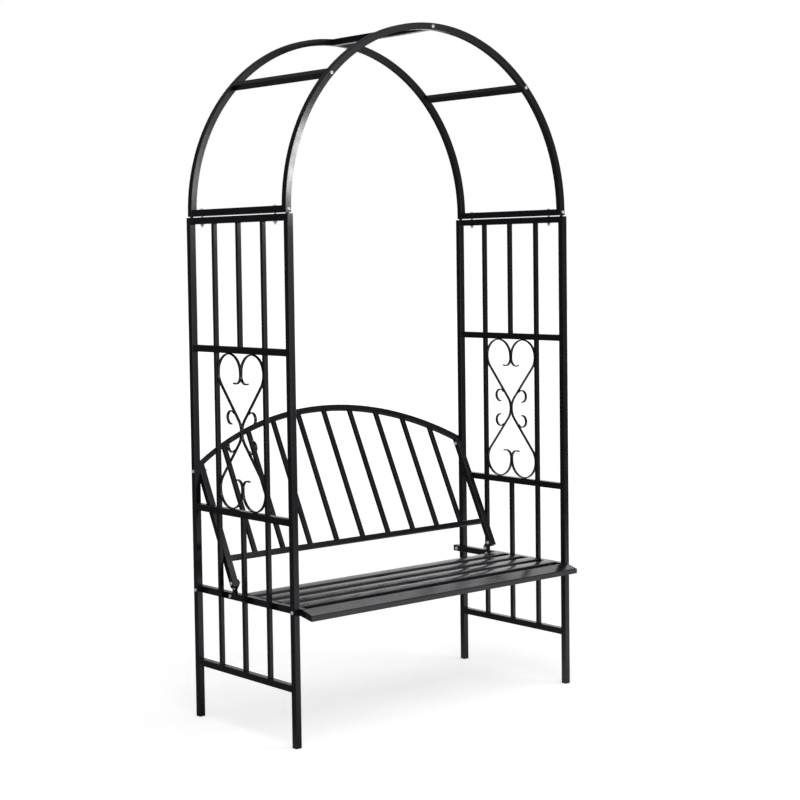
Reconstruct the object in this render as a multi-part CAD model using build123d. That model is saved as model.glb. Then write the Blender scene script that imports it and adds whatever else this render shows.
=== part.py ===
from build123d import *
import math
import os

# Garden arbor bench: two trellis side panels, a round arch of two hoops over them, and a slatted seat
# with a reclined back between them. X runs along the bench, the front faces -Y, Z is up.
# Members are placed from the point on the floor midway between the four legs. Each is saved with that point
# moved, so that the origin is on the floor under the middle of the whole bench. Lengths are millimetres.

# Legs and panel rails, placed by their tube centres
leg_spacing_x = 1090.0
leg_spacing_y = 485.0
leg_top_height = 1510.0
lower_rail_height = 169.0
middle_rail_height = 642.0
upper_rail_height = 1121.0
tube_size = 20.0
tube_wall = 1.2
tube_bevel = 1.2
foot_pad = 2.0

# Thin vertical bars of the panels and the back
bar_size = 13.0
bar_wall = 1.0
bar_bevel = 0.9
bar_places_share = (-0.25, 0.0, 0.25)

# Scroll work in the middle bay of each panel
scroll_width = 8.0
scroll_thickness = 3.5
waist_share = 0.32
curl_share = 0.42
curl_sweep = 115.0
contact_share = 0.15
small_scroll_share = 0.114
small_scroll_rise_share = 0.24
small_scroll_tail = 88.0
weld_gap = 0.15

# Arch
hoop_gap = 3.0
hoop_foot_rise = 10.0
hoop_inset = 8.0
crossbar_angles = (45.0, 90.0, 135.0)
crossbar_names = ("right", "apex", "left")

# Seat
seat_rail_height = 387.5
seat_rail_tail = 7.5
slat_rear_edge = 50.0
slat_pitch = 77.0
slat_width = 46.0
slat_depth = 12.0
slat_crown = 2.0
slat_sheet = 1.5
slat_corner = 3.0
plain_slats = 4
front_slat_reach = 48.0
front_slat_drop = 13.0
front_slat_lip = 16.0
side_play = 0.3
strap_width = 25.0
strap_thickness = 4.0

# Reclined back, measured along its slope from the bolts through the rear legs
recline = 26.4
back_bolt_rise = 360.5
back_tail = 372.0
back_rail_drop = 283.0
back_end_rise = 20.0
back_arch_rise = 147.5
back_rail_size = 16.0
back_bars = 9

# Cranked plates that tie the back to the seat
plate_thickness = 3.0
plate_width = 22.0
plate_knee_back = 14.0
plate_knee_height = 20.0
tail_bolt_inset = 12.0

# Plugs and connectors
plug_depth = 15.0
short_plug = 6.0
plug_play = 0.3
pin_diameter = 10.0
overrun = 30.0

# Worked out from the sizes above
leg_x = leg_spacing_x / 2
leg_y = leg_spacing_y / 2
half_tube = tube_size / 2
half_bar = bar_size / 2
inner_x = leg_x - half_tube
seat_x = inner_x - tube_size
bore_size = tube_size - 2 * tube_wall
top_rail_height = leg_top_height - half_tube
hoop_foot_height = leg_top_height + hoop_gap
hoop_centre_height = hoop_foot_height + hoop_foot_rise
base_bar_height = hoop_foot_height + half_tube
hoop_y = leg_y - hoop_inset
seat_top = seat_rail_height + half_tube
back_bolt_height = seat_rail_height + back_bolt_rise
front_slat_back = slat_rear_edge - plain_slats * slat_pitch
lean = math.radians(recline)
back_top = back_end_rise + back_arch_rise + back_rail_size / 2
rear_reach = leg_y + back_top * math.sin(lean) + back_rail_size / 2 * math.cos(lean)
depth_middle = (rear_reach + front_slat_back - front_slat_reach) / 2
seat_rail_back = leg_y + half_tube + seat_rail_tail
sides = (("left", -1), ("right", 1))
ends = (("front", -1), ("rear", 1))

X = Vector(1, 0, 0)
Y = Vector(0, 1, 0)
Z = Vector(0, 0, 1)


def save(name, *solids):
    """Write one sub-part's solid, or its group of separate solids."""
    moved = [Pos(0, -depth_middle, 0) * solid for solid in solids]
    shape = moved[0] if len(moved) == 1 else Compound(children=moved)
    export_step(shape, f"parts/{name}.step")


def plane_along(start, along, up):
    """A plane at start whose normal runs along a member, with up as its Y direction."""
    return Plane(origin=start, x_dir=up.cross(along), z_dir=along)


def bevelled_square(size, bevel):
    """A tube's outline: a square whose corners are taken off."""
    square = Rectangle(size, size)
    return chamfer(square.vertices(), bevel)


def square_tube(start, end, up, size, wall, bevel):
    """A straight hollow square tube with eased outer corners."""
    start = Vector(*start)
    run = Vector(*end) - start
    plane = plane_along(start, run.normalized(), up)
    outside = extrude(plane * bevelled_square(size, bevel), run.length)
    bore = extrude(plane * Rectangle(size - 2 * wall, size - 2 * wall), run.length)
    return outside - bore


def frame_tube(start, end, up=X):
    return square_tube(start, end, up, tube_size, tube_wall, tube_bevel)


def thin_bar(start, end, up=X):
    return square_tube(start, end, up, bar_size, bar_wall, bar_bevel)


# Side panels
def leg(side, end):
    x = side * leg_x
    y = end * leg_y
    return frame_tube((x, y, foot_pad), (x, y, leg_top_height), up=Y)


def panel_rail(side, height):
    x = side * leg_x
    y = leg_y - half_tube
    return frame_tube((x, -y, height), (x, y, height))


def bay_bars(side, low_rail, high_rail, shares):
    """The thin bars of one bay, cut to fit between two rails."""
    low = low_rail + half_tube
    high = high_rail - half_tube
    x = side * leg_x
    return [
        thin_bar((x, share * leg_spacing_y, low), (x, share * leg_spacing_y, high))
        for share in shares
    ]


# Scroll work: one bar runs from a curl on the bay's centre line, round its loop, down the diagonal to the
# waist, and on as its own mirror image. Places are distances from the bay's centre.
bay_half_width = bar_places_share[2] * leg_spacing_y - half_bar
bay_half_height = (upper_rail_height - middle_rail_height) / 2 - half_tube
bay_middle = (upper_rail_height + middle_rail_height) / 2
half_scroll = scroll_thickness / 2
scroll_in = half_scroll + weld_gap
scroll_out = bay_half_width - half_scroll - weld_gap
loop_radius = (scroll_out - scroll_in) / 2
loop_middle = scroll_in + loop_radius
loop_height = bay_half_height - half_scroll - weld_gap - loop_radius
waist_radius = waist_share * loop_height
waist_middle = scroll_in + waist_radius
curl_radius = curl_share * loop_radius
curl_height = loop_height - contact_share * loop_radius
curl_middle = scroll_in + curl_radius
small_scroll_radius = small_scroll_share * loop_height
small_scroll_height = small_scroll_rise_share * loop_height


def diagonal_angle():
    """Angle from upright of the straight that is tangent to the waist and to the loop, in degrees."""
    across = waist_middle - loop_middle
    apart = math.hypot(across, loop_height)
    lean = math.degrees(math.atan2(across, loop_height))
    crossing = math.degrees(math.asin((loop_radius + waist_radius) / apart))
    return crossing - lean


def scroll_edge(shift):
    """Half a scroll bar's edge line, from the curl's tip to the waist, shift to the outside of its loop."""
    angle = diagonal_angle()
    slope = Vector(math.cos(math.radians(angle)), -math.sin(math.radians(angle)))
    loop_centre = Vector(loop_middle, loop_height)
    waist_centre = Vector(waist_middle, 0)
    curl_centre = Vector(curl_middle, curl_height)
    curl = CenterArc(curl_centre, curl_radius + shift, 180, curl_sweep)
    contact = Line((scroll_in - shift, curl_height), (scroll_in - shift, loop_height))
    loop = CenterArc(loop_centre, loop_radius + shift, -angle, 180 + angle)
    leave = loop_centre + slope * (loop_radius + shift)
    arrive = waist_centre - slope * (waist_radius - shift)
    diagonal = Line(leave, arrive)
    waist = CenterArc(waist_centre, waist_radius - shift, 180 - angle, angle)
    return [curl, contact, loop, diagonal, waist]


def scroll_outline():
    """The closed outline of a whole scroll bar on the positive side of the bay."""
    outer = scroll_edge(half_scroll)
    inner = scroll_edge(-half_scroll)
    upper = outer + inner
    tip = Line(outer[0] @ 1, inner[0] @ 1)
    half = [*upper, tip]
    return half + [edge.mirror(Plane.XZ) for edge in half]


def panel_plane(side, flip=1):
    """The bay's own plane: its X is the distance from the centre line, its Y the height."""
    return Plane(origin=(side * leg_x, 0, bay_middle), x_dir=(0, flip, 0), z_dir=(flip, 0, 0))


def scroll(side, end):
    face = make_face(Wire(scroll_outline()))
    return extrude(panel_plane(side, end) * face, scroll_width / 2, both=True)


def small_scroll(side, end, up):
    """A C-shaped curl that rests on the diagonal at its far end."""
    angle = diagonal_angle()
    cosine = math.cos(math.radians(angle))
    sine = math.sin(math.radians(angle))
    start = Vector(waist_middle - waist_radius * cosine, waist_radius * sine)
    apart = small_scroll_radius + scroll_thickness + weld_gap
    middle = start.X + (apart + (small_scroll_height - start.Y) * sine) / cosine
    first = 180 - angle
    sweep = -(first + small_scroll_tail)
    centre = (middle, small_scroll_height)
    outer = CenterArc(centre, small_scroll_radius + half_scroll, first, sweep)
    inner = CenterArc(centre, small_scroll_radius - half_scroll, first, sweep)
    caps = [Line(outer @ 0, inner @ 0), Line(outer @ 1, inner @ 1)]
    face = make_face(Wire([outer, inner, *caps]))
    if up < 0:
        face = face.mirror(Plane.XZ)
    return extrude(panel_plane(side, end) * face, scroll_width / 2, both=True)


# Arch
def hoop(end):
    """A half-round hoop of square tube with a short straight foot over each leg."""
    y = end * hoop_y
    plane = Plane(origin=(0, y, 0), x_dir=X, z_dir=-Y)
    low = (leg_x, hoop_foot_height)
    left_low = (-leg_x, hoop_foot_height)
    spring = (leg_x, hoop_centre_height)
    left_spring = (-leg_x, hoop_centre_height)
    apex = (0, hoop_centre_height + leg_x)
    route = Wire([Line(low, spring), ThreePointArc(spring, apex, left_spring), Line(left_spring, left_low)])
    route = plane * route
    foot = Plane(origin=(leg_x, y, hoop_foot_height), x_dir=X, z_dir=Z)
    outside = sweep(foot * bevelled_square(tube_size, tube_bevel), path=route)
    return outside - sweep(foot * Rectangle(bore_size, bore_size), path=route)


def crossbar_place(angle):
    turn = math.radians(angle)
    return (leg_x * math.cos(turn), hoop_centre_height + leg_x * math.sin(turn))


def crossbar(angle):
    x, z = crossbar_place(angle)
    turn = math.radians(angle)
    y = hoop_y - half_tube
    return frame_tube((x, -y, z), (x, y, z), up=Vector(math.cos(turn), 0, math.sin(turn)))


def base_bar(side):
    x = side * leg_x
    y = hoop_y - half_tube
    return frame_tube((x, -y, base_bar_height), (x, y, base_bar_height))


# Seat
def seat_rail(side):
    x = side * (inner_x - half_tube)
    return frame_tube((x, front_slat_back, seat_rail_height), (x, seat_rail_back, seat_rail_height))


def slat_profile(width, depth, crown, corner):
    """A crowned slat's side view, from its rear edge at zero forwards, its edges level with zero height."""
    edge = Polyline((0, 0), (0, -depth), (-width, -depth), (-width, 0))
    top = ThreePointArc((0, 0), (-width / 2, crown), (-width, 0))
    face = make_face(Wire([*edge.edges(), top]))
    corners = face.vertices().sort_by(Axis.Y)[-2:]
    return fillet(corners, corner)


def plain_slat(index):
    """A pressed slat between the seat rails: a crowned top with a flange down each long edge."""
    rear = slat_rear_edge - index * slat_pitch
    length = 2 * (inner_x - tube_size)
    outer = slat_profile(slat_width, slat_depth, slat_crown, slat_corner)
    inner_width = slat_width - 2 * slat_sheet
    inner = slat_profile(inner_width, slat_depth, slat_crown, slat_corner - slat_sheet)
    plane = Plane(origin=(0, rear, seat_top), x_dir=Y, z_dir=X)
    section = plane * outer - plane * Pos(-slat_sheet, -slat_sheet) * inner
    return extrude(section, length / 2, both=True)


def front_slat():
    """A folded pan across the seat's front, sloped down to a lip, with closed ends."""
    half = inner_x - side_play
    front = -front_slat_reach
    rail_foot = -tube_size
    lip_foot = -front_slat_drop - front_slat_lip
    plane = Plane(origin=(0, front_slat_back, seat_top), x_dir=Y, z_dir=X)
    side_view = Polyline((0, 0), (0, rail_foot), (front, lip_foot), (front, -front_slat_drop), close=True)
    block = extrude(plane * make_face(side_view), half, both=True)
    top_edges = block.faces().sort_by(Axis.Z)[-1].edges()
    block = fillet(top_edges, slat_corner)
    tilt = front_slat_drop / front_slat_reach
    back_in = (-slat_sheet, -slat_sheet * (1 + tilt))
    front_in = (front + slat_sheet, -front_slat_drop - slat_sheet * (1 - tilt))
    below = -tube_size - overrun
    hollow = Polyline(back_in, (-slat_sheet, below), (front + slat_sheet, below), front_in, close=True)
    return block - extrude(plane * make_face(hollow), half - slat_sheet, both=True)


def seat_strap():
    """A flat bar under the slats at mid-length, up against the front slat's rear flange."""
    top = seat_top - slat_depth
    length = slat_rear_edge - front_slat_back
    middle = (slat_rear_edge + front_slat_back) / 2
    return Pos(0, middle, top - strap_thickness / 2) * Box(strap_width, length, strap_thickness)


# Back
back_plane = Plane(
    origin=(0, leg_y, back_bolt_height),
    x_dir=(1, 0, 0),
    z_dir=(0, -math.cos(lean), math.sin(lean)),
)
slope_up = Vector(0, math.sin(lean), math.cos(lean))
back_half = seat_x
back_end_x = inner_x - half_tube
back_radius = (back_end_x**2 + back_arch_rise**2) / (2 * back_arch_rise)
back_centre = back_end_rise + back_arch_rise - back_radius
half_back_rail = back_rail_size / 2


def back_point(x, along):
    """A point of the back's middle plane, at a distance along its slope from the leg bolts."""
    return back_plane.from_local_coords(Vector(x, along, 0))


def arch_disc(radius, depth):
    face = Pos(0, back_centre) * Circle(radius)
    return extrude(back_plane * face, depth / 2, both=True)


def between_uprights(solid, reach):
    """Keep the stretch of the back's top rail between two upright cuts."""
    height = back_radius
    middle = back_end_rise + back_arch_rise
    block = Pos(0, middle) * Rectangle(2 * reach, height)
    return solid & extrude(back_plane * block, back_rail_size, both=True)


def back_top_rail():
    outer = back_radius + half_back_rail
    inner = back_radius - half_back_rail
    ring = arch_disc(outer, back_rail_size) - arch_disc(inner, back_rail_size)
    bore = arch_disc(outer - bar_wall, back_rail_size - 2 * bar_wall)
    bore -= arch_disc(inner + bar_wall, back_rail_size - 2 * bar_wall)
    return between_uprights(ring - bore, inner_x)


def under_arch(solid):
    """Cope a member's top end to the underside of the arched top rail."""
    return solid & arch_disc(back_radius - half_back_rail, tube_size + overrun)


def upright(side):
    x = side * back_end_x
    low = back_point(x, -back_tail)
    high = back_point(x, back_end_rise + tube_size)
    return under_arch(frame_tube(low, high))


def back_rail():
    low = back_point(-back_half, -back_rail_drop)
    high = back_point(back_half, -back_rail_drop)
    return square_tube(low, high, slope_up, back_rail_size, bar_wall, bar_bevel)


def back_bar(index):
    pitch = 2 * back_end_x / (back_bars + 1)
    x = (index - (back_bars - 1) / 2) * pitch
    low = back_point(x, half_back_rail - back_rail_drop)
    high = back_point(x, back_end_rise + back_arch_rise)
    return under_arch(thin_bar(low, high))


# Plates that tie the back's tails to the seat rails
def tail_bolt_point(x):
    return back_point(x, tail_bolt_inset - back_tail)


def rail_bolt_y():
    return tail_bolt_point(0).Y + plate_knee_back / 2


def tie_plate(side):
    """A flat cranked plate on the inner faces, from the upright's tail over a knee to the seat rail."""
    tail = tail_bolt_point(0)
    high = Vector(tail.Y, tail.Z)
    low = Vector(rail_bolt_y(), seat_rail_height)
    knee = Vector(high.X + plate_knee_back, high.Y - plate_knee_height)
    outline = hull_of_discs(high, knee) + hull_of_discs(knee, low)
    face_x = side * (seat_x - plate_thickness / 2)
    plane = Plane(origin=(face_x, 0, 0), x_dir=Y, z_dir=X)
    return extrude(plane * outline, plate_thickness / 2, both=True)


def hull_of_discs(first, second):
    """A round-ended strip of the plate's width between two points."""
    middle = (first + second) * 0.5
    run = second - first
    turn = math.degrees(math.atan2(run.Y, run.X))
    return Pos(middle.X, middle.Y) * Rot(0, 0, turn) * SlotCenterToCenter(run.length, plate_width)


# Plugs and connectors
def tube_plug(at, along, depth=plug_depth, flange=0.0):
    """A plastic plug pushed into a tube's end at a point, along the tube, with an optional flange outside."""
    up = X if abs(along.X) < 0.5 else Z
    plane = plane_along(Vector(*at), along, up)
    side_length = bore_size - 2 * plug_play
    body = extrude(plane * Rectangle(side_length, side_length), depth)
    if flange:
        cap = plane_along(Vector(*at) - along * flange, along, up)
        body += extrude(cap * bevelled_square(tube_size, tube_bevel), flange)
    return body


def hoop_connector(side, end):
    """A plug in a leg's top and one in the hoop's foot, with a round neck across the gap between them."""
    x = side * leg_x
    low = tube_plug((x, end * leg_y, leg_top_height), -Z)
    high = tube_plug((x, end * hoop_y, hoop_foot_height), Z, short_plug)
    middle = Plane((x, end * (leg_y + hoop_y) / 2, leg_top_height))
    neck = extrude(middle * Circle(pin_diameter / 2), hoop_gap)
    return low + neck + high


def make_panels():
    outer_shares = (bar_places_share[0], bar_places_share[2])
    for name, side in sides:
        for end_name, end in ends:
            save(f"{name}_{end_name}_leg", leg(side, end))
            save(f"{name}_{end_name}_scroll", scroll(side, end))
        save(f"{name}_panel_lower_rail", panel_rail(side, lower_rail_height))
        save(f"{name}_panel_middle_rail", panel_rail(side, middle_rail_height))
        save(f"{name}_panel_upper_rail", panel_rail(side, upper_rail_height))
        save(f"{name}_panel_top_rail", panel_rail(side, top_rail_height))
        lower = bay_bars(side, lower_rail_height, middle_rail_height, bar_places_share)
        middle = bay_bars(side, middle_rail_height, upper_rail_height, outer_shares)
        upper = bay_bars(side, upper_rail_height, top_rail_height, bar_places_share)
        save(f"{name}_panel_lower_bars", *lower)
        save(f"{name}_panel_middle_bars", *middle)
        save(f"{name}_panel_upper_bars", *upper)
    places = [(side, end, up) for name, side in sides for end in (-1, 1) for up in (-1, 1)]
    save("small_scrolls", *[small_scroll(*place) for place in places])


def make_arch():
    for name, end in ends:
        save(f"{name}_hoop", hoop(end))
    for name, angle in zip(crossbar_names, crossbar_angles):
        save(f"{name}_crossbar", crossbar(angle))
    for name, side in sides:
        save(f"{name}_base_bar", base_bar(side))


def make_seat():
    for name, side in sides:
        save(f"{name}_seat_rail", seat_rail(side))
    for index in range(plain_slats):
        save(f"seat_slat_{index + 1}", plain_slat(index))
    save("front_seat_slat", front_slat())
    save("seat_strap", seat_strap())


def make_back():
    save("back_top_rail", back_top_rail())
    save("back_bottom_rail", back_rail())
    save("back_bars", *[back_bar(index) for index in range(back_bars)])
    for name, side in sides:
        save(f"{name}_back_upright", upright(side))
    save("tie_plates", *[tie_plate(side) for name, side in sides])


def make_plugs():
    corners = [(side, end) for name, side in sides for end_name, end in ends]
    feet = [(side * leg_x, end * leg_y, foot_pad) for side, end in corners]
    save("foot_plugs", *[tube_plug(foot, Z, flange=foot_pad) for foot in feet])
    save("hoop_connectors", *[hoop_connector(side, end) for side, end in corners])
    tails = [tube_plug(back_point(side * back_end_x, -back_tail), slope_up, short_plug) for name, side in sides]
    rear_ends = [(side * back_end_x, seat_rail_back, seat_rail_height) for name, side in sides]
    save("tube_end_plugs", *tails, *[tube_plug(place, -Y, short_plug) for place in rear_ends])


os.makedirs("parts", exist_ok=True)
make_panels()
make_arch()
make_seat()
make_back()
make_plugs()
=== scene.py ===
import math

import bmesh
import bpy
from bpy.props import FloatProperty, FloatVectorProperty, PointerProperty
from mathutils import Euler, Matrix, Quaternion, Vector


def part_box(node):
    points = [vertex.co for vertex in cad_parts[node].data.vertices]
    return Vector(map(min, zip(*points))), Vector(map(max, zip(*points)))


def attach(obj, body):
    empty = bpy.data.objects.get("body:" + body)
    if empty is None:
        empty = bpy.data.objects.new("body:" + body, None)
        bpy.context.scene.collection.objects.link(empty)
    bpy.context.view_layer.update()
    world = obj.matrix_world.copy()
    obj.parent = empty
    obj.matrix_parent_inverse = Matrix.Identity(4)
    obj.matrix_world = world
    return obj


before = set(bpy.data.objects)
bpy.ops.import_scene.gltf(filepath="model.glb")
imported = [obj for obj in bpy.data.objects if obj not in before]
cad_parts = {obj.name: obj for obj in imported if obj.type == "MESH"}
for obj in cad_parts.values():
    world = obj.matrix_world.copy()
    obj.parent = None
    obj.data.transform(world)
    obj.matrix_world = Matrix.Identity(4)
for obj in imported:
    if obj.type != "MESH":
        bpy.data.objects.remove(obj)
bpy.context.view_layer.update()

bl_info = {
    "name": "Arbor Bench Dresser",
    "version": (1, 0, 0),
    "blender": (4, 5, 0),
    "location": "View3D > Sidebar > Arbor Bench",
    "description": "Powder coat, weld beads, bolts, nuts and a plain studio for a garden arbor bench",
    "category": "Object",
}

UP = Vector((0, 0, 1))
RIGHT = Vector((1, 0, 0))
REARWARD = Vector((0, 1, 0))

# Places closer than this, in metres, count as one
SAME_PLACE = 0.0002

# A bolt's and a nut's details, as shares of their own sizes
THREADS_PER_WIDTH = 6
THREAD_ROOT_SHARE = 0.86
THREAD_END_SHARE = 0.8
DOME_SHARE = 0.8
SOCKET_DEPTH_SHARE = 0.55
NUT_CORNER_SHARE = 0.06

# The turn in radians from one bolt or bead to the next, so that no two look alike
NEXT_TURN = 0.7

FRAME_COAT = "Black powder coat"
ZINC = "Bright zinc"
DUST_COLOUR = (0.32, 0.31, 0.29, 1)


# Sizes and colours

class CoatSettings(bpy.types.PropertyGroup):
    frame_colour: FloatVectorProperty(
        name="Frame coat",
        description="Base colour of the powder coat on the tubes, bars and scrolls",
        subtype="COLOR",
        min=0,
        max=1,
        default=(0.0050, 0.0050, 0.0082),
    )
    slat_colour: FloatVectorProperty(
        name="Slat coat",
        description="Base colour of the powder coat on the pressed seat slats",
        subtype="COLOR",
        min=0,
        max=1,
        default=(0.0072, 0.0072, 0.0115),
    )
    worn_colour: FloatVectorProperty(
        name="Rubbed edge",
        description="Colour of the coat where corners are rubbed thin",
        subtype="COLOR",
        min=0,
        max=1,
        default=(0.05, 0.052, 0.056),
    )
    peel_size: FloatProperty(
        name="Orange peel",
        description="Distance between the small waves of the baked coat",
        subtype="DISTANCE",
        unit="LENGTH",
        default=0.0015,
    )
    plastic_colour: FloatVectorProperty(
        name="Plastic",
        description="Base colour of the moulded plugs",
        subtype="COLOR",
        min=0,
        max=1,
        default=(0.012, 0.012, 0.012),
    )


class FastenerSettings(bpy.types.PropertyGroup):
    head_width: FloatProperty(
        name="Head width",
        description="Diameter of the bolts' dome heads",
        subtype="DISTANCE",
        unit="LENGTH",
        default=0.0105,
    )
    head_height: FloatProperty(
        name="Head height",
        description="How far a dome head stands proud of its tube",
        subtype="DISTANCE",
        unit="LENGTH",
        default=0.0032,
    )
    socket_width: FloatProperty(
        name="Socket",
        description="Hexagon socket across its flats",
        subtype="DISTANCE",
        unit="LENGTH",
        default=0.004,
    )
    shank_width: FloatProperty(
        name="Shank",
        description="Diameter of the bolts' shanks",
        subtype="DISTANCE",
        unit="LENGTH",
        default=0.006,
    )
    nut_width: FloatProperty(
        name="Nut width",
        description="Nuts across their flats",
        subtype="DISTANCE",
        unit="LENGTH",
        default=0.010,
    )
    nut_height: FloatProperty(
        name="Nut height",
        description="Height of the nuts",
        subtype="DISTANCE",
        unit="LENGTH",
        default=0.005,
    )
    knee_drop: FloatProperty(
        name="Knee drop",
        description="How far the cranked plates' knees lie below the bolts at the back's tails",
        subtype="DISTANCE",
        unit="LENGTH",
        default=0.020,
    )
    long_tip: FloatProperty(
        name="Long tip",
        description="How far the base bar bolts reach below the panels' top rails",
        subtype="DISTANCE",
        unit="LENGTH",
        default=0.010,
    )
    back_corner_rise: FloatProperty(
        name="Back corner",
        description="Height of the back's corner bolts above the seat rails' middle",
        subtype="DISTANCE",
        unit="LENGTH",
        default=0.3605,
    )
    short_tip: FloatProperty(
        name="Short tip",
        description="How far the other bolts reach beyond their nuts' seats",
        subtype="DISTANCE",
        unit="LENGTH",
        default=0.008,
    )


class WeldSettings(bpy.types.PropertyGroup):
    bead_radius: FloatProperty(
        name="Bead radius",
        description="Radius of the weld beads under the coat",
        subtype="DISTANCE",
        unit="LENGTH",
        default=0.0021,
    )
    bead_share: FloatProperty(
        name="Bead share",
        description="Length of a bead as a share of the bar, rail or strip that it holds",
        subtype="FACTOR",
        min=0.1,
        max=1.0,
        default=0.85,
    )
    recline: FloatProperty(
        name="Recline",
        description="How far the back leans from upright, for the beads at its bars",
        subtype="ANGLE",
        unit="ROTATION",
        default=math.radians(26.4),
    )


class StudioSettings(bpy.types.PropertyGroup):
    camera_place: FloatVectorProperty(
        name="Camera",
        description="Where the camera stands",
        subtype="TRANSLATION",
        unit="LENGTH",
        default=(-3.4422, -4.1288, 1.3739),
    )
    camera_azimuth: FloatProperty(
        name="Azimuth",
        description="The camera's turn from the front towards the left panel",
        subtype="ANGLE",
        unit="ROTATION",
        default=0.71857,
    )
    camera_pitch: FloatProperty(
        name="Pitch",
        description="How far the camera looks down",
        subtype="ANGLE",
        unit="ROTATION",
        default=0.05912,
    )
    camera_roll: FloatProperty(
        name="Roll",
        description="The camera's small turn about its own axis",
        subtype="ANGLE",
        unit="ROTATION",
        default=-0.01237,
    )
    lens: FloatProperty(
        name="Lens",
        description="Focal length in millimetres",
        subtype="DISTANCE_CAMERA",
        unit="CAMERA",
        default=77.797,
    )
    shift_across: FloatProperty(
        name="Shift across",
        description="Lens shift to the right, as a share of the picture's width",
        default=-0.0290,
    )
    shift_up: FloatProperty(
        name="Shift up",
        description="Lens shift upwards, as a share of the picture's width",
        default=-0.0463,
    )
    world_level: FloatProperty(
        name="Sky level",
        description="Level of the plain light from all round",
        subtype="FACTOR",
        min=0,
        max=2,
        default=0.55,
    )
    softbox_power: FloatProperty(
        name="Softbox",
        description="Power of the small softbox that gives the coat its highlights, in watts",
        subtype="POWER",
        unit="POWER",
        default=3.7,
    )
    key_power: FloatProperty(
        name="Key light",
        description="Power of the soft key light in watts",
        subtype="POWER",
        unit="POWER",
        default=60.0,
    )
    fill_power: FloatProperty(
        name="Fill light",
        description="Power of the soft top light in watts",
        subtype="POWER",
        unit="POWER",
        default=80.0,
    )


# Small modelling tools

def let_go():
    """Leave edit mode and deselect everything."""
    if bpy.context.mode != "OBJECT":
        bpy.ops.object.mode_set(mode="OBJECT")
    bpy.ops.object.select_all(action="DESELECT")


def take(piece):
    """Make a piece the only selected and active object."""
    let_go()
    piece.select_set(True)
    bpy.context.view_layer.objects.active = piece


def shape(piece):
    """Enter edit mode on a piece, with faces picked."""
    take(piece)
    bpy.ops.object.mode_set(mode="EDIT")
    bpy.ops.mesh.select_mode(type="FACE")


def pick_faces(piece, wanted):
    """Select only the faces that are wanted, and stop if there are none."""
    bpy.ops.mesh.select_all(action="DESELECT")
    mesh = bmesh.from_edit_mesh(piece.data)
    found = [face for face in mesh.faces if wanted(face)]
    if not found:
        raise RuntimeError(f"{piece.name} has no face to shape")
    for face in found:
        face.select_set(True)
    bmesh.update_edit_mesh(piece.data)


def upward(face):
    """Whether a face looks straight up."""
    return face.normal.z > 0.99


def downward(face):
    """Whether a face looks straight down."""
    return face.normal.z < -0.99


def stretch_down(length):
    """Extrude the picked face downwards."""
    bpy.ops.mesh.extrude_region_move(TRANSFORM_OT_translate={"value": (0, 0, -length)})


def scale_picked(scale, level):
    """Scale the picked face about the Z axis at its own level."""
    bpy.ops.transform.resize(value=(scale, scale, 1), center_override=(0, 0, level))


def finish_modifier(piece, kind, **values):
    """Add a modifier with its values and apply it."""
    take(piece)
    bpy.ops.object.modifier_add(type=kind)
    modifier = piece.modifiers[-1]
    for name, value in values.items():
        setattr(modifier, name, value)
    bpy.ops.object.modifier_apply(modifier=modifier.name)


def cut_away(piece, cutter):
    """Cut one closed shape out of another and throw the cutter away."""
    finish_modifier(piece, "BOOLEAN", object=cutter, operation="DIFFERENCE", solver="EXACT")
    bpy.data.objects.remove(cutter)


def soften(piece, angle=35):
    """Settle a piece's place into its mesh and smooth its gentle corners."""
    take(piece)
    bpy.ops.object.transform_apply(location=True, rotation=True, scale=True)
    bpy.ops.object.shade_smooth_by_angle(angle=math.radians(angle))


def copy_to(master, name, place, facing, spin=0.0):
    """Copy a piece, its Z turned to face a direction, and settle its place into its own mesh."""
    take(master)
    bpy.ops.object.duplicate(linked=False)
    copy = bpy.context.active_object
    copy.name = name
    turn = facing.to_track_quat("Z", "Y") @ Quaternion(UP, spin)
    copy.matrix_world = Matrix.Translation(place) @ turn.to_matrix().to_4x4()
    take(copy)
    bpy.ops.object.transform_apply(location=True, rotation=True, scale=True)
    return copy


def place_copy(master, name, place, facing, spin=0.0):
    """Copy a piece to its place and let it ride with the bench."""
    copy = copy_to(master, name, place, facing, spin)
    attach(copy, "root")
    return copy


def throw_away(*masters):
    """Remove the pieces that were only there to be copied."""
    for master in masters:
        bpy.data.objects.remove(master)


# Fasteners, modelled with their seat at the origin and their outer end up Z

def model_bolt(sizes, shank, tip):
    """A dome head bolt with a hexagon socket, its shank below its seat and a thread along its tip."""
    let_go()
    radius = sizes.head_width / 2
    height = sizes.head_height
    middle = (0, 0, height / 2)
    bpy.ops.mesh.primitive_cylinder_add(vertices=28, radius=radius, depth=height, location=middle)
    bolt = bpy.context.active_object
    shape(bolt)
    pick_faces(bolt, upward)
    dome = height * DOME_SHARE
    bpy.ops.mesh.bevel(offset=dome, offset_type="OFFSET", segments=4, profile=0.5, affect="EDGES")
    pick_faces(bolt, downward)
    bpy.ops.mesh.inset(thickness=radius - sizes.shank_width / 2)
    stretch_down(shank)
    pitch = sizes.shank_width / THREADS_PER_WIDTH
    low = -shank
    for _ in range(int(tip / pitch)):
        for scale in (THREAD_ROOT_SHARE, 1 / THREAD_ROOT_SHARE):
            low -= pitch / 2
            stretch_down(pitch / 2)
            scale_picked(scale, low)
    stretch_down(pitch / 2)
    scale_picked(THREAD_END_SHARE, low - pitch / 2)
    let_go()
    corner = sizes.socket_width / math.sqrt(3)
    depth = height * SOCKET_DEPTH_SHARE
    bpy.ops.mesh.primitive_cylinder_add(vertices=6, radius=corner, depth=depth * 2, location=(0, 0, height))
    cut_away(bolt, bpy.context.active_object)
    soften(bolt)
    return bolt


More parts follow.
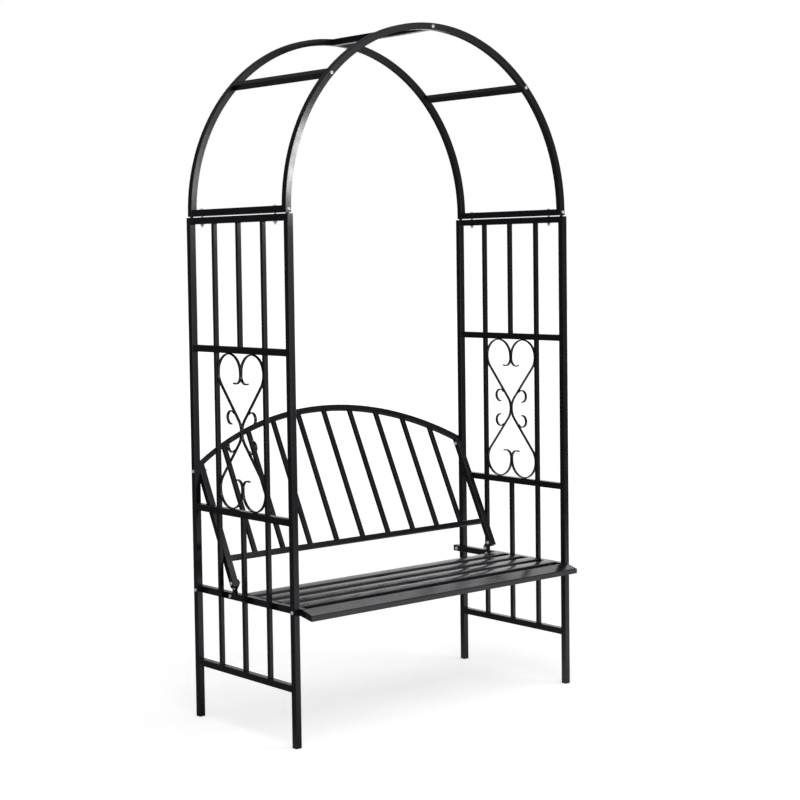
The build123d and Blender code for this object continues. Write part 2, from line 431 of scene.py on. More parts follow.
def model_nut(sizes):
    """A hexagon nut whose corners are turned off at both ends."""
    let_go()
    corner = sizes.nut_width / math.sqrt(3)
    height = sizes.nut_height
    middle = (0, 0, height / 2)
    bpy.ops.mesh.primitive_cylinder_add(vertices=6, radius=corner, depth=height, location=middle)
    nut = bpy.context.active_object
    shape(nut)
    pick_faces(nut, lambda face: upward(face) or downward(face))
    bpy.ops.mesh.bevel(offset=sizes.nut_width * NUT_CORNER_SHARE, segments=2, affect="EDGES")
    let_go()
    hole = sizes.shank_width / 2
    bpy.ops.mesh.primitive_cylinder_add(vertices=20, radius=hole, depth=height * 3, location=middle)
    cut_away(nut, bpy.context.active_object)
    soften(nut)
    return nut


# Weld beads, laid in the corners where bars, rails and strips meet

def model_bead(radius, length):
    """A bead along Z whose shares of the full radius make its ripples and its thinner ends."""
    shares = (0.55, 0.84, 1.0, 0.86, 1.0, 0.86, 1.0, 0.55)
    step = length / (len(shares) - 1)
    let_go()
    top = (0, 0, (length - step) / 2)
    bpy.ops.mesh.primitive_cylinder_add(vertices=8, radius=radius * shares[0], depth=step, location=top)
    bead = bpy.context.active_object
    shape(bead)
    pick_faces(bead, downward)
    level = length / 2 - step
    scale_picked(shares[1] / shares[0], level)
    for share, next_share in zip(shares[1:], shares[2:]):
        stretch_down(step)
        level -= step
        scale_picked(next_share / share, level)
    soften(bead, angle=70)
    return bead


def member_corners(name, along, across, least_gap=0.02):
    """Find the corners where a node's bars or rails end, told apart by the gaps across their length.

    Each corner is its place, the way a bead lies in it and the width of its bar or rail.
    """
    normal = along.cross(across)
    points = [vertex.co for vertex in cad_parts[name].data.vertices]
    points = sorted((point.dot(across), point.dot(along), point.dot(normal)) for point in points)
    members = [[points[0]]]
    for before, point in zip(points, points[1:]):
        if point[0] - before[0] > least_gap:
            members.append([])
        members[-1].append(point)
    corners = []
    for member in members:
        depths = [point[2] for point in member]
        middle = (min(depths) + max(depths)) / 2
        for face in (member[0][0], member[-1][0]):
            reach = [point[1] for point in member if abs(point[0] - face) < SAME_PLACE]
            for end in (min(reach), max(reach)):
                place = across * face + along * end + normal * middle
                corners.append((place, normal, max(depths) - min(depths)))
    return corners


def strip_touches(name, outward):
    """Where a scroll touches the rails, the bar beside it and, past its middle, its neighbour."""
    points = [vertex.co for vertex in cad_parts[name].data.vertices]
    low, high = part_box(name)
    third = (high.z - low.z) / 3
    bands = []
    for band in range(3):
        bands.append([point for point in points if 0 <= point.z - low.z - third * band <= third])
    touches = [(pick(points, key=lambda point: point.z), REARWARD) for pick in (max, min)]
    touches += [(max(band, key=lambda point: point.y * outward), UP) for band in (bands[0], bands[2])]
    touches += [(min(band, key=lambda point: point.y * outward), UP) for band in bands]
    spots = []
    for point, tangent in touches:
        for edge in (low.x, high.x):
            spots.append((Vector((edge, point.y, point.z)), tangent, high.x - low.x))
    return spots


def curl_touches(name):
    """Where the small curls beside a scroll touch its diagonals."""
    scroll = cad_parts[name]
    low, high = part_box(name)
    middle = (low + high) / 2
    corners = [vertex.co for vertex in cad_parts["small_scrolls"].data.vertices]
    beside = [co for co in corners if co.x * middle.x > 0 and co.y * middle.y > 0]
    spots = []
    for upper in (False, True):
        probes = [Vector((middle.x, co.y, co.z)) for co in beside if (co.z > middle.z) == upper]
        found = [(probe, *scroll.closest_point_on_mesh(probe)[1:3]) for probe in probes]
        _, place, normal = min(found, key=lambda entry: (entry[0] - entry[1]).length)
        for edge in (low.x, high.x):
            spots.append((Vector((edge, place.y, place.z)), normal.cross(RIGHT), high.x - low.x))
    return spots


def lay_beads(name, spots, sizes):
    """Lay a bead at each spot and join them in one piece."""
    masters = {}
    copies = []
    for number, (place, way, width) in enumerate(spots):
        size = round(width * sizes.bead_share, 3)
        if size not in masters:
            masters[size] = model_bead(sizes.bead_radius, size)
        copies.append(copy_to(masters[size], f"{name}_{number}", place, way, spin=number * NEXT_TURN))
    throw_away(*masters.values())
    let_go()
    for copy in copies:
        copy.select_set(True)
    bpy.context.view_layer.objects.active = copies[0]
    bpy.ops.object.join()
    copies[0].name = name
    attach(copies[0], "root")
    return copies[0]


# Effects that several finishes share

def new_group(name, inputs, outputs):
    """An empty shader node group with its named inputs and outputs."""
    group = bpy.data.node_groups.new(name, "ShaderNodeTree")
    for socket_name, kind, default in inputs:
        socket = group.interface.new_socket(socket_name, in_out="INPUT", socket_type=kind)
        socket.default_value = default
    for socket_name, kind in outputs:
        group.interface.new_socket(socket_name, in_out="OUTPUT", socket_type=kind)
    start = group.nodes.new("NodeGroupInput")
    end = group.nodes.new("NodeGroupOutput")
    start.location = (-900, 0)
    end.location = (700, 0)
    return group, start, end


def feed(tree, value, socket):
    """Give a socket a fixed value, or link another node's output to it."""
    if isinstance(value, bpy.types.NodeSocket):
        tree.links.new(value, socket)
    else:
        socket.default_value = value


def math_node(tree, operation, first, second, clamp=False):
    """One step of arithmetic on two values, each a fixed one or another node's."""
    node = tree.nodes.new("ShaderNodeMath")
    node.operation = operation
    node.use_clamp = clamp
    feed(tree, first, node.inputs[0])
    feed(tree, second, node.inputs[1])
    return node.outputs["Value"]


def noise(tree, place, scale, detail=3.0, roughness=0.5):
    """Soft random patches between 0 and 1, as many to the metre as the scale says."""
    node = tree.nodes.new("ShaderNodeTexNoise")
    feed(tree, place, node.inputs["Vector"])
    feed(tree, scale, node.inputs["Scale"])
    feed(tree, detail, node.inputs["Detail"])
    feed(tree, roughness, node.inputs["Roughness"])
    return node.outputs["Fac"]


def remap(tree, value, low, high, to_low=0.0, to_high=1.0):
    """Stretch the range from low to high over another one, and stop at its ends."""
    node = tree.nodes.new("ShaderNodeMapRange")
    node.clamp = True
    tree.links.new(value, node.inputs["Value"])
    node.inputs["From Min"].default_value = low
    node.inputs["From Max"].default_value = high
    node.inputs["To Min"].default_value = to_low
    node.inputs["To Max"].default_value = to_high
    return node.outputs["Result"]


def blend_colours(tree, amount, first, second):
    """Blend two colours, each a fixed one or another node's."""
    node = tree.nodes.new("ShaderNodeMix")
    node.data_type = "RGBA"
    tree.links.new(amount, node.inputs["Factor"])
    colour_sockets = [socket for socket in node.inputs if socket.type == "RGBA"]
    for socket, colour in zip(colour_sockets, (first, second)):
        feed(tree, colour, socket)
    return next(socket for socket in node.outputs if socket.type == "RGBA")


def make_orange_peel():
    """Height of a baked powder coat: small soft waves with fine grains between them."""
    inputs = [("Vector", "NodeSocketVector", (0, 0, 0)), ("Scale", "NodeSocketFloat", 400.0)]
    group, start, end = new_group("Orange Peel", inputs, [("Height", "NodeSocketFloat")])
    waves = noise(group, start.outputs["Vector"], start.outputs["Scale"], detail=1.0)
    finer = math_node(group, "MULTIPLY", start.outputs["Scale"], 4.0)
    grains = noise(group, start.outputs["Vector"], finer, detail=1.0)
    fine = math_node(group, "MULTIPLY", grains, 0.25)
    height = math_node(group, "ADD", waves, fine)
    group.links.new(height, end.inputs["Height"])
    return group


def make_edge_rub():
    """A mask of rubbed corners: patches where a rounded corner would turn away from the flat face."""
    inputs = [
        ("Vector", "NodeSocketVector", (0, 0, 0)),
        ("Radius", "NodeSocketFloat", 0.0008),
        ("Amount", "NodeSocketFloat", 0.5),
    ]
    group, start, end = new_group("Edge Rub", inputs, [("Mask", "NodeSocketFloat")])
    rounded = group.nodes.new("ShaderNodeBevel")
    rounded.samples = 4
    group.links.new(start.outputs["Radius"], rounded.inputs["Radius"])
    flat = group.nodes.new("ShaderNodeNewGeometry")
    agree = group.nodes.new("ShaderNodeVectorMath")
    agree.operation = "DOT_PRODUCT"
    group.links.new(rounded.outputs["Normal"], agree.inputs[0])
    group.links.new(flat.outputs["Normal"], agree.inputs[1])
    turned = remap(group, agree.outputs["Value"], 0.995, 0.90)
    patches = remap(group, noise(group, start.outputs["Vector"], 60.0, detail=4.0), 0.42, 0.62)
    worn = math_node(group, "MULTIPLY", turned, patches)
    mask = math_node(group, "MULTIPLY", worn, start.outputs["Amount"], clamp=True)
    group.links.new(mask, end.inputs["Mask"])
    return group


def make_settled_dust():
    """A mask of thin dust on faces that look up, thicker in soft patches."""
    inputs = [("Vector", "NodeSocketVector", (0, 0, 0)), ("Amount", "NodeSocketFloat", 0.1)]
    group, start, end = new_group("Settled Dust", inputs, [("Mask", "NodeSocketFloat")])
    flat = group.nodes.new("ShaderNodeNewGeometry")
    parts = group.nodes.new("ShaderNodeSeparateXYZ")
    group.links.new(flat.outputs["Normal"], parts.inputs["Vector"])
    up = remap(group, parts.outputs["Z"], 0.2, 1.0)
    patches = remap(group, noise(group, start.outputs["Vector"], 14.0, detail=5.0), 0.3, 0.75, 0.35, 1.0)
    specks = remap(group, noise(group, start.outputs["Vector"], 900.0, detail=2.0), 0.45, 0.7, 0.6, 1.0)
    soft = math_node(group, "MULTIPLY", patches, specks)
    laid = math_node(group, "MULTIPLY", up, soft)
    mask = math_node(group, "MULTIPLY", laid, start.outputs["Amount"], clamp=True)
    group.links.new(mask, end.inputs["Mask"])
    return group


def shared_effect(name):
    """The node group of an effect, built where it is first used."""
    makers = {
        "Orange Peel": make_orange_peel,
        "Edge Rub": make_edge_rub,
        "Settled Dust": make_settled_dust,
    }
    return bpy.data.node_groups.get(name) or makers[name]()


def use_effect(tree, name, place, **values):
    """Place a shared effect in a finish with its own values."""
    node = tree.nodes.new("ShaderNodeGroup")
    node.node_tree = shared_effect(name)
    feed(tree, place, node.inputs["Vector"])
    for key, value in values.items():
        feed(tree, value, node.inputs[key])
    return node.outputs[0]


def rgba(colour, level=1.0):
    """A colour made lighter or darker, for a colour socket."""
    return tuple(min(1.0, channel * level) for channel in colour) + (1.0,)


def start_finish(name):
    """A new material: its tree, its shader and the place on the object."""
    material = bpy.data.materials.new(name)
    material.use_nodes = True
    tree = material.node_tree
    shader = tree.nodes["Principled BSDF"]
    place = tree.nodes.new("ShaderNodeTexCoord").outputs["Object"]
    return material, tree, shader, place


def raise_grain(tree, shader, height, distance, strength):
    """Raise a pattern on the surface by a distance in metres."""
    bump = tree.nodes.new("ShaderNodeBump")
    bump.inputs["Distance"].default_value = distance
    bump.inputs["Strength"].default_value = strength
    tree.links.new(height, bump.inputs["Height"])
    tree.links.new(bump.outputs["Normal"], shader.inputs["Normal"])


def powder_coat(name, colour, worn, peel_size, gloss, dust, rub, ior):
    """Baked powder coat: soft tone changes, an orange peel surface, thin dust and rubbed corners."""
    material, tree, shader, place = start_finish(name)
    tone = remap(tree, noise(tree, place, 5.0, detail=4.0), 0.3, 0.7)
    base = blend_colours(tree, tone, rgba(colour, 0.8), rgba(colour, 1.25))
    rubbed = use_effect(tree, "Edge Rub", place, Radius=0.0009, Amount=rub)
    base = blend_colours(tree, rubbed, base, rgba(worn))
    dusty = use_effect(tree, "Settled Dust", place, Amount=dust)
    base = blend_colours(tree, dusty, base, DUST_COLOUR)
    tree.links.new(base, shader.inputs["Base Color"])
    streaks = remap(tree, noise(tree, place, 22.0, detail=5.0), 0.3, 0.7, gloss - 0.04, gloss + 0.05)
    dulled = math_node(tree, "MULTIPLY", dusty, 0.6)
    tree.links.new(math_node(tree, "ADD", streaks, dulled, clamp=True), shader.inputs["Roughness"])
    peel = use_effect(tree, "Orange Peel", place, Scale=1 / peel_size)
    raise_grain(tree, shader, peel, distance=0.00005, strength=0.33)
    shader.inputs["IOR"].default_value = ior
    return material


def moulded_plastic(colour):
    """Matt moulded plastic with a fine spark-eroded grain."""
    material, tree, shader, place = start_finish("Moulded plastic")
    tone = remap(tree, noise(tree, place, 40.0, detail=3.0), 0.3, 0.7)
    base = blend_colours(tree, tone, rgba(colour, 0.8), rgba(colour, 1.3))
    scuffs = remap(tree, noise(tree, place, 180.0, detail=5.0, roughness=0.7), 0.55, 0.75)
    base = blend_colours(tree, math_node(tree, "MULTIPLY", scuffs, 0.3), base, (0.09, 0.09, 0.09, 1))
    tree.links.new(base, shader.inputs["Base Color"])
    tree.links.new(remap(tree, tone, 0, 1, 0.48, 0.6), shader.inputs["Roughness"])
    grain = noise(tree, place, 2500.0, detail=2.0)
    raise_grain(tree, shader, grain, distance=0.00004, strength=0.6)
    return material


def bright_zinc():
    """Bright zinc plate: a soft cloudy sheen with fine handling marks."""
    material, tree, shader, place = start_finish(ZINC)
    cloud = remap(tree, noise(tree, place, 240.0, detail=4.0), 0.3, 0.7)
    base = blend_colours(tree, cloud, (0.82, 0.83, 0.85, 1), (0.93, 0.94, 0.95, 1))
    marks = remap(tree, noise(tree, place, 1400.0, detail=4.0, roughness=0.7), 0.58, 0.7)
    base = blend_colours(tree, math_node(tree, "MULTIPLY", marks, 0.4), base, (0.42, 0.43, 0.45, 1))
    tree.links.new(base, shader.inputs["Base Color"])
    tree.links.new(remap(tree, cloud, 0, 1, 0.3, 0.42), shader.inputs["Roughness"])
    grain = noise(tree, place, 1800.0, detail=3.0)
    raise_grain(tree, shader, grain, distance=0.00003, strength=0.4)
    shader.inputs["Metallic"].default_value = 0.6
    return material


def finish_with(material, *pieces):
    """Give each piece its finish, in the slots it has or in a new one."""
    for piece in pieces:
        if not piece.material_slots:
            piece.data.materials.append(material)
        for place in piece.material_slots:
            place.material = material


def fastener_zinc():
    """The zinc that all fasteners share, made where it is first used."""
    return bpy.data.materials.get(ZINC) or bright_zinc()


def nodes_named(*words):
    """The CAD nodes whose names hold one of the words."""
    return [node for name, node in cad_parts.items() if any(word in name for word in words)]


# Operators

class ARBOR_OT_coat_frame(bpy.types.Operator):
    """Give the legs, rails, bars, scrolls, arch and back their black powder coat"""

    bl_idname = "arbor_bench.coat_frame"
    bl_label = "Coat the Frame"

    def execute(self, context):
        coat = context.scene.arbor_coat
        finish = powder_coat(
            FRAME_COAT,
            coat.frame_colour,
            coat.worn_colour,
            coat.peel_size,
            gloss=0.18,
            dust=0.006,
            rub=0.2,
            ior=1.5,
        )
        others = nodes_named("plugs", "slat")
        coated = [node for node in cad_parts.values() if node not in others]
        finish_with(finish, *coated)
        return {"FINISHED"}


class ARBOR_OT_coat_slats(bpy.types.Operator):
    """Give the pressed seat slats their powder coat"""

    bl_idname = "arbor_bench.coat_slats"
    bl_label = "Coat the Slats"

    def execute(self, context):
        coat = context.scene.arbor_coat
        finish = powder_coat(
            "Slat powder coat",
            coat.slat_colour,
            coat.worn_colour,
            coat.peel_size,
            gloss=0.2,
            dust=0.006,
            rub=0.2,
            ior=1.65,
        )
        finish_with(finish, *nodes_named("slat"))
        return {"FINISHED"}


class ARBOR_OT_finish_plugs(bpy.types.Operator):
    """Give the foot plugs and tube end plugs their moulded plastic"""

    bl_idname = "arbor_bench.finish_plugs"
    bl_label = "Finish the Plugs"

    def execute(self, context):
        coat = context.scene.arbor_coat
        finish_with(moulded_plastic(coat.plastic_colour), *nodes_named("plugs"))
        return {"FINISHED"}


def arch_bend():
    """The arch's bend radius, to the middle of its tube, and its centre's height."""
    low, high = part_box("front_hoop")
    half_tube = (high.y - low.y) / 2
    radius = (high.x - low.x) / 2 - half_tube
    return radius, high.z - half_tube - radius


class ARBOR_OT_arch_bolts(bpy.types.Operator):
    """Model the dome head bolts on the hoops' outer faces, into the crossbars and base bars"""

    bl_idname = "arbor_bench.arch_bolts"
    bl_label = "Arch Bolts"

    def execute(self, context):
        sizes = context.scene.arbor_fasteners
        master = model_bolt(sizes, shank=0.006, tip=0.003)
        radius, centre = arch_bend()
        zinc = fastener_zinc()
        faces = {
            "front": (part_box("front_hoop")[0].y, -REARWARD),
            "rear": (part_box("rear_hoop")[1].y, REARWARD),
        }
        for end, (y, facing) in faces.items():
            for number, angle in enumerate((0, 45, 90, 135, 180)):
                turn = math.radians(angle)
                place = Vector((radius * math.cos(turn), y, centre + radius * math.sin(turn)))
                name = f"{end}_hoop_bolt_{number + 1}"
                finish_with(zinc, place_copy(master, name, place, facing, spin=number * NEXT_TURN))
        throw_away(master)
        return {"FINISHED"}


def between_leg_and_bar(side):
    """The places midway between each leg and the bar beside it, along a panel."""
    bars_low, bars_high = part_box(f"{side}_panel_upper_bars")
    half_bar = (bars_high.x - bars_low.x) / 2
    front_leg = sum(corner.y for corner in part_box(f"{side}_front_leg")) / 2
    rear_leg = sum(corner.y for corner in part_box(f"{side}_rear_leg")) / 2
    return (front_leg + bars_low.y + half_bar) / 2, (rear_leg + bars_high.y - half_bar) / 2


class ARBOR_OT_base_bar_bolts(bpy.types.Operator):
    """Model the bolts that hold the arch's base bars down on the panels, with their nuts"""

    bl_idname = "arbor_bench.base_bar_bolts"
    bl_label = "Base Bar Bolts"

    def execute(self, context):
        sizes = context.scene.arbor_fasteners
        zinc = fastener_zinc()
        nut_master = model_nut(sizes)
        for side in ("left", "right"):
            low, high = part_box(f"{side}_base_bar")
            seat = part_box(f"{side}_panel_top_rail")[0].z
            x = (low.x + high.x) / 2
            master = model_bolt(sizes, high.z - seat, sizes.long_tip)
            for end, y in zip(("front", "rear"), between_leg_and_bar(side)):
                name = f"{side}_base_{end}"
                bolt = place_copy(master, f"{name}_bolt", Vector((x, y, high.z)), UP, spin=y)
                nut = place_copy(nut_master, f"{name}_nut", Vector((x, y, seat)), -UP, spin=y * 5)
                finish_with(zinc, bolt, nut)
            throw_away(master)
        throw_away(nut_master)
        return {"FINISHED"}


def through_bolt(sizes, name, head_place, nut_place, nut_master, spin):
    """A bolt from its head's seat to its nut's seat, and the nut."""
    run = head_place - nut_place
    master = model_bolt(sizes, run.length, sizes.short_tip)
    bolt = place_copy(master, f"{name}_bolt", head_place, run.normalized(), spin=spin)
    nut = place_copy(nut_master, f"{name}_nut", nut_place, -run.normalized(), spin=spin * 2)
    throw_away(master)
    finish_with(fastener_zinc(), bolt, nut)


class ARBOR_OT_leg_bolts(bpy.types.Operator):
    """Model the bolts that hold the seat rails and the back's corners to the legs"""

    bl_idname = "arbor_bench.leg_bolts"
    bl_label = "Leg Bolts"

    def execute(self, context):
        sizes = context.scene.arbor_fasteners
        nut_master = model_nut(sizes)
        for side, sign in (("left", -1), ("right", 1)):
            rail_low, rail_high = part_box(f"{side}_seat_rail")
            rail_height = (rail_low.z + rail_high.z) / 2
            corner_height = rail_height + sizes.back_corner_rise
            inner = min(abs(rail_low.x), abs(rail_high.x))
            bolts = (
                ("front_seat", "front", rail_height, 0.4),
                ("rear_seat", "rear", rail_height, 0.4),
                ("back_corner", "rear", corner_height, 0.9),
            )
            for name, leg, height, turn in bolts:
                low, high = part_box(f"{side}_{leg}_leg")
                middle = (low.y + high.y) / 2
                outer = max(abs(low.x), abs(high.x))
                head = Vector((sign * outer, middle, height))
                seat = Vector((sign * inner, middle, height))
                through_bolt(sizes, f"{side}_{name}", head, seat, nut_master, spin=sign * turn)
        throw_away(nut_master)
        return {"FINISHED"}


class ARBOR_OT_tie_plate_bolts(bpy.types.Operator):
    """Model the bolts of the cranked plates that tie the back's tails to the seat rails"""

    bl_idname = "arbor_bench.tie_plate_bolts"
    bl_label = "Tie Plate Bolts"

    def execute(self, context):
        sizes = context.scene.arbor_fasteners
        nut_master = model_nut(sizes)
        low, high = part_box("tie_plates")
        rail_height = sum(corner.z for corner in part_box("right_seat_rail")) / 2
        half_plate = rail_height - low.z
        tail = Vector((0, low.y + half_plate, high.z - half_plate))
        knee = Vector((0, high.y - half_plate, tail.z - sizes.knee_drop))
        rail = Vector((0, (tail.y + knee.y) / 2, rail_height))
        inner_face = min(abs(point.co.x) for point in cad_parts["tie_plates"].data.vertices)
        tube_face = max(abs(corner.x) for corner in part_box("right_back_upright"))
        spots = {"tail": (tail, tube_face), "knee": (knee, high.x), "rail": (rail, tube_face)}
        for side, sign in (("left", -1), ("right", 1)):
            for spot, (place, outer_face) in spots.items():
                head = place + RIGHT * sign * outer_face
                seat = place + RIGHT * sign * inner_face
                through_bolt(sizes, f"{side}_plate_{spot}", head, seat, nut_master, spin=sign * 0.6)
        throw_away(nut_master)
        return {"FINISHED"}


class ARBOR_OT_panel_welds(bpy.types.Operator):
    """Model the weld beads of both side panels"""

    bl_idname = "arbor_bench.panel_welds"
    bl_label = "Panel Welds"

    def execute(self, context):
        sizes = context.scene.arbor_welds
        for side in ("left", "right"):
            spots = []
            for bay in ("lower", "middle", "upper"):
                spots += member_corners(f"{side}_panel_{bay}_bars", UP, REARWARD)
            for rail in ("lower", "middle", "upper", "top"):
                spots += member_corners(f"{side}_panel_{rail}_rail", REARWARD, UP)
            leg_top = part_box(f"{side}_front_leg")[1].z
            spots = [spot for spot in spots if spot[0].z < leg_top - SAME_PLACE]
            for end, outward in (("front", -1), ("rear", 1)):
                spots += strip_touches(f"{side}_{end}_scroll", outward)
                spots += curl_touches(f"{side}_{end}_scroll")
            beads = lay_beads(f"{side}_panel_welds", spots, sizes)
            finish_with(bpy.data.materials[FRAME_COAT], beads)
        return {"FINISHED"}


class ARBOR_OT_back_welds(bpy.types.Operator):
    """Model the weld beads of the back's bars and bottom rail"""

    bl_idname = "arbor_bench.back_welds"
    bl_label = "Back Welds"

    def execute(self, context):
        sizes = context.scene.arbor_welds
        slope = Vector((0, math.sin(sizes.recline), math.cos(sizes.recline)))
        spots = member_corners("back_bars", slope, RIGHT)
        spots += member_corners("back_bottom_rail", RIGHT, slope)
        finish_with(bpy.data.materials[FRAME_COAT], lay_beads("back_welds", spots, sizes))
        return {"FINISHED"}


# Studio

def seen_mask(tree):
    """One for what the camera sees directly, in a gloss or through glass, and zero for plain light."""
    path = tree.nodes.new("ShaderNodeLightPath")
    mask = math_node(tree, "MAXIMUM", path.outputs["Is Camera Ray"], path.outputs["Is Glossy Ray"])
    return math_node(tree, "MAXIMUM", mask, path.outputs["Is Transmission Ray"])


def pick_shader(tree, unseen, seen):
    """One shader for plain light, and another for what the camera or a gloss sees."""
    pick = tree.nodes.new("ShaderNodeMixShader")
    tree.links.new(seen_mask(tree), pick.inputs["Fac"])
    tree.links.new(unseen, pick.inputs[1])
    tree.links.new(seen, pick.inputs[2])
    return pick.outputs[0]


def fading_level(tree, centre, near, far, near_level, far_level, squeeze=(1, 1, 1)):
    """A level that fades with the distance from a point, in a circle or, squeezed, in an oval."""
    place = tree.nodes.new("ShaderNodeTexCoord").outputs["Object"]
    squeezed = tree.nodes.new("ShaderNodeVectorMath")
    squeezed.operation = "MULTIPLY"
    feed(tree, place, squeezed.inputs[0])
    feed(tree, squeeze, squeezed.inputs[1])
    away = tree.nodes.new("ShaderNodeVectorMath")
    away.operation = "DISTANCE"
    feed(tree, squeezed.outputs["Vector"], away.inputs[0])
    feed(tree, [middle * share for middle, share in zip(centre, squeeze)], away.inputs[1])
    return remap(tree, away.outputs["Value"], near, far, near_level, far_level)


def bare_material(name):
    """A new material with an empty tree."""
    material = bpy.data.materials.new(name)
    material.use_nodes = True
    tree = material.node_tree
    tree.nodes.clear()
    return material, tree


def white_floor():
    """A pale floor that looks white like the backdrop and keeps a faint shadow."""
    material, tree = bare_material("Studio floor")
    place = tree.nodes.new("ShaderNodeTexCoord").outputs["Object"]
    tone = remap(tree, noise(tree, place, 3.0), 0.3, 0.7)
    base = blend_colours(tree, tone, (0.80, 0.80, 0.80, 1), (0.84, 0.84, 0.84, 1))
    matt = tree.nodes.new("ShaderNodeBsdfDiffuse")
    tree.links.new(base, matt.inputs["Color"])
    glow = tree.nodes.new("ShaderNodeEmission")
    level = fading_level(tree, centre=(0, 0, 0), near=1.5, far=9.0, near_level=0.43, far_level=0.68)
    tree.links.new(level, glow.inputs["Strength"])
    both = tree.nodes.new("ShaderNodeAddShader")
    tree.links.new(matt.outputs[0], both.inputs[0])
    tree.links.new(glow.outputs[0], both.inputs[1])
    end = tree.nodes.new("ShaderNodeOutputMaterial")
    tree.links.new(pick_shader(tree, matt.outputs[0], both.outputs[0]), end.inputs["Surface"])
    return material


def white_surround(tree, level):
    """A plain white background of one level."""
    background = tree.nodes.new("ShaderNodeBackground")
    background.inputs["Strength"].default_value = level
    background.inputs["Color"].default_value = (1, 1, 1, 1)
    return background.outputs[0]


def light_world(level):
    """A plain white surround, at its own level where it only lights the object."""
    world = bpy.context.scene.world or bpy.data.worlds.new("Studio surround")
    bpy.context.scene.world = world
    world.use_nodes = True
    tree = world.node_tree
    tree.nodes.clear()
    both = pick_shader(tree, white_surround(tree, level), white_surround(tree, 1.0))
    end = tree.nodes.new("ShaderNodeOutputWorld")
    tree.links.new(both, end.inputs["Surface"])


def soft_light(name, place, aim, size, power, glossy=False):
    """A soft light of a width and height, which shows in the coat's gloss only where that is asked for."""
    bpy.ops.object.light_add(type="AREA", location=place)
    lamp = bpy.context.active_object
    lamp.name = name
    lamp.data.shape = "RECTANGLE"
    lamp.data.size, lamp.data.size_y = size
    lamp.data.energy = power
    lamp.rotation_mode = "QUATERNION"
    lamp.rotation_quaternion = (Vector(aim) - Vector(place)).to_track_quat("-Z", "Y")
    lamp.visible_camera = False
    lamp.visible_glossy = glossy


def reflection_card(name, size, place, turn, level=0.0, fade=None):
    """A plain card that shows only in the coat's gloss, as a studio's dark flags do.

    Its glow has one level, or fades away from a bright spot.
    """
    bpy.ops.mesh.primitive_plane_add(size=1, location=place, rotation=turn)
    card = bpy.context.active_object
    card.name = name
    card.scale = (size[0], size[1], 1)
    take(card)
    bpy.ops.object.transform_apply(location=True, rotation=True, scale=True)
    material, tree = bare_material(name)
    glow = tree.nodes.new("ShaderNodeEmission")
    feed(tree, fading_level(tree, **fade) if fade else level, glow.inputs["Strength"])
    end = tree.nodes.new("ShaderNodeOutputMaterial")
    tree.links.new(glow.outputs[0], end.inputs["Surface"])
    finish_with(material, card)
    card.visible_camera = False
    card.visible_diffuse = False
    card.visible_transmission = False
    card.visible_shadow = False


def stand_cards():
    """Stand the cards under, round and over the bench. Three of them have a bright spot."""
    flat = (0, 0, 0)
    upright = (math.pi / 2, 0, 0)
    sideways = (0, math.pi / 2, 0)
    by_the_feet = dict(centre=(1.2, -1.5, 0), near=1.0, far=2.4, near_level=0.8, far_level=0.1)
    at_the_front = dict(
        centre=(3.0, -5.2, 3.5),
        squeeze=(1, 1, 0.55),
        near=0.6,
        far=2.3,
        near_level=1.0,
        far_level=0.16,
    )
    at_the_rear = dict(centre=(6.5, 6.0, 1.9), near=1.0, far=3.2, near_level=1.0, far_level=0.4)
    reflection_card("floor_card", (12, 12), (0, 0, 0.001), flat, fade=by_the_feet)
    reflection_card("left_card", (9, 7), (-2.6, 3.4, 2.5), sideways, level=0.05)
    reflection_card("front_card", (18, 12), (4.0, -5.2, 4.5), upright, fade=at_the_front)
    reflection_card("ceiling_card", (14, 9), (1.0, -1.5, 7.0), flat, level=0.18)
    reflection_card("rear_card", (14, 8), (-2.0, 6.0, 8.0), upright, level=0.13)
    reflection_card("rear_low_card", (15.5, 4), (-1.25, 6.0, 2.0), upright, fade=at_the_rear)


def hang_lamps(studio):
    """Hang the small softbox by the left hoops, and the two plain lamps that light the whole bench."""
    hoops = (-0.5, -0.25, 1.66)
    bench = (0, 0, 1.2)
    soft_light("Softbox", (0.47, -1.6, 1.76), hoops, (0.16, 0.26), studio.softbox_power, glossy=True)
    soft_light("Key", (3.6, -3.8, 3.6), bench, (3.2, 3.2), studio.key_power)
    soft_light("Top", (-1.6, -2.6, 5.0), bench, (3.0, 3.0), studio.fill_power)


class ARBOR_OT_studio(bpy.types.Operator):
    """Set up the floor, the plain light and the camera"""

    bl_idname = "arbor_bench.studio"
    bl_label = "Studio"

    def execute(self, context):
        studio = context.scene.arbor_studio
        let_go()
        bpy.ops.mesh.primitive_plane_add(size=60, location=(0, 0, 0))
        floor = context.active_object
        floor.name = "studio_floor"
        finish_with(white_floor(), floor)
        light_world(studio.world_level)
        stand_cards()
        hang_lamps(studio)
        self.set_camera(context.scene, studio)
        context.scene.view_settings.view_transform = "Standard"
        return {"FINISHED"}

    def set_camera(self, scene, studio):
        """Stand the camera where the photo was taken from."""
        pitch = math.pi / 2 - studio.camera_pitch
        level = Euler((pitch, 0, -studio.camera_azimuth), "XYZ").to_quaternion()
        bpy.ops.object.camera_add(location=studio.camera_place)
        camera = bpy.context.active_object
        camera.rotation_mode = "QUATERNION"
        camera.rotation_quaternion = level @ Quaternion(UP, studio.camera_roll)
        camera.data.sensor_width = 36
        camera.data.lens = studio.lens
        camera.data.shift_x = studio.shift_across
        camera.data.shift_y = studio.shift_up
        camera.data.clip_end = 200
        scene.camera = camera


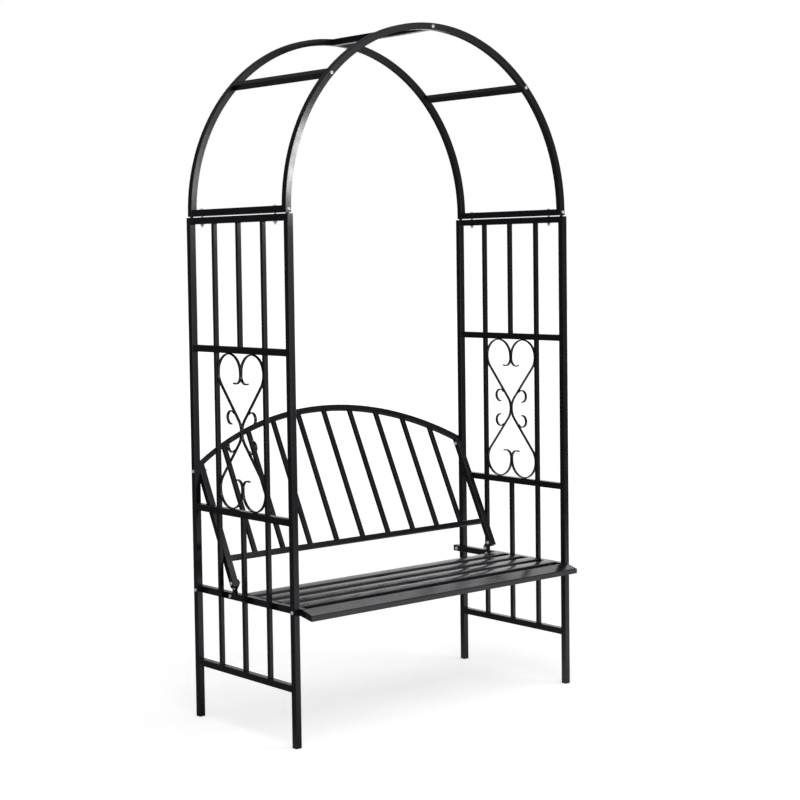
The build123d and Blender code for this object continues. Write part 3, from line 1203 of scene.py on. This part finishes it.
class ARBOR_PT_panel(bpy.types.Panel):
    """Steps of the arbor bench and the values they use"""

    bl_idname = "ARBOR_PT_panel"
    bl_label = "Arbor Bench"
    bl_space_type = "VIEW_3D"
    bl_region_type = "UI"
    bl_category = "Arbor Bench"

    def draw(self, context):
        for name in SETTINGS:
            group = getattr(context.scene, name)
            box = self.layout.box()
            for setting in group.bl_rna.properties.keys():
                if setting not in ("name", "rna_type"):
                    box.prop(group, setting)
        for step in STEPS:
            self.layout.operator(step.bl_idname)


STEPS = (
    ARBOR_OT_coat_frame,
    ARBOR_OT_coat_slats,
    ARBOR_OT_finish_plugs,
    ARBOR_OT_arch_bolts,
    ARBOR_OT_base_bar_bolts,
    ARBOR_OT_leg_bolts,
    ARBOR_OT_tie_plate_bolts,
    ARBOR_OT_panel_welds,
    ARBOR_OT_back_welds,
    ARBOR_OT_studio,
)
SETTINGS = {
    "arbor_coat": CoatSettings,
    "arbor_fasteners": FastenerSettings,
    "arbor_welds": WeldSettings,
    "arbor_studio": StudioSettings,
}


def register():
    """Register the settings, the steps and the panel."""
    for group in SETTINGS.values():
        bpy.utils.register_class(group)
    for step in STEPS:
        bpy.utils.register_class(step)
    bpy.utils.register_class(ARBOR_PT_panel)
    for name, group in SETTINGS.items():
        setattr(bpy.types.Scene, name, PointerProperty(type=group))


def unregister():
    """Take everything back that register added."""
    for name in SETTINGS:
        delattr(bpy.types.Scene, name)
    bpy.utils.unregister_class(ARBOR_PT_panel)
    for step in reversed(STEPS):
        bpy.utils.unregister_class(step)
    for group in reversed(SETTINGS.values()):
        bpy.utils.unregister_class(group)


def main():
    """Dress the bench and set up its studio."""
    register()
    bpy.ops.arbor_bench.coat_frame()
    bpy.ops.arbor_bench.coat_slats()
    bpy.ops.arbor_bench.finish_plugs()
    bpy.ops.arbor_bench.arch_bolts()
    bpy.ops.arbor_bench.base_bar_bolts()
    bpy.ops.arbor_bench.leg_bolts()
    bpy.ops.arbor_bench.tie_plate_bolts()
    bpy.ops.arbor_bench.panel_welds()
    bpy.ops.arbor_bench.back_welds()
    bpy.ops.arbor_bench.studio()


if __name__ == "__main__":
    main()
